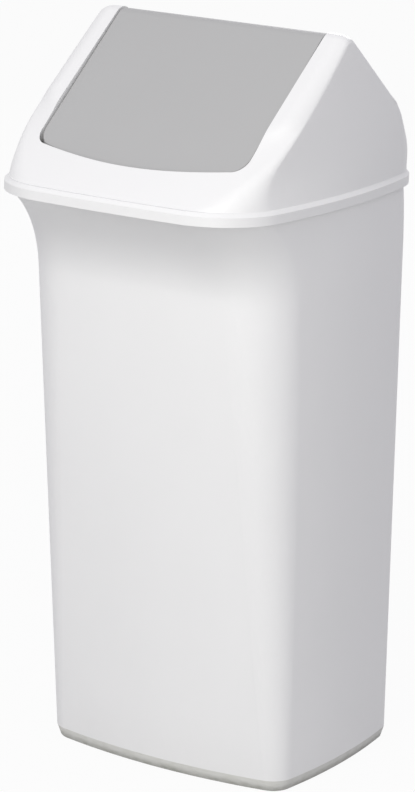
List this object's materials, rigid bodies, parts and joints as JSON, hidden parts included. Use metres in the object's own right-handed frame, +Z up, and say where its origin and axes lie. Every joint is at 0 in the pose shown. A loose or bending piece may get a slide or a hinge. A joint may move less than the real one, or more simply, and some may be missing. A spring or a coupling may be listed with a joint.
{
  "type": "swing-lid waste bin",
  "caption": "Tall tapering waste bin with a flared front, a lift-off roof-shaped hood and a weighted flap that swings both ways on side pins.",
  "frame": {"origin": "centre of the bounding box in plan, on the surface the bin stands on", "axes": "+Z up, +Y from the flared front to the upright back, +X from the viewer's left to the right when facing the front"},
  "size_m": [0.32, 0.366, 0.747],
  "materials": {
    "body_plastic": "fine satin moulded",
    "hood_plastic": "fine satin moulded",
    "flap_plastic": "matt moulded",
    "bush_plastic": "smooth moulded",
    "pin_steel": "turned",
    "weight_steel": "sheared strip"
  },
  "bodies": {
    "bin": {"bin_body": "body_plastic"},
    "hood": {"lid_hood": "hood_plastic", "hinge_bush_left": "bush_plastic", "hinge_bush_right": "bush_plastic"},
    "flap": {"swing_flap": "flap_plastic", "balance_weight": "weight_steel", "hinge_pin_left": "pin_steel", "hinge_pin_right": "pin_steel"}
  },
  "joints": [
    {"name": "hood_lift", "type": "slide", "parent": "bin", "child": "hood", "axis": [0, 0, 1], "range_m": [0, 0.15]},
    {"name": "flap_swing", "type": "hinge", "parent": "hood", "child": "flap", "pos_m": [0, 0.017, 0.73], "axis": [1, 0, 0], "range_deg": [-60, 60]}
  ]
}
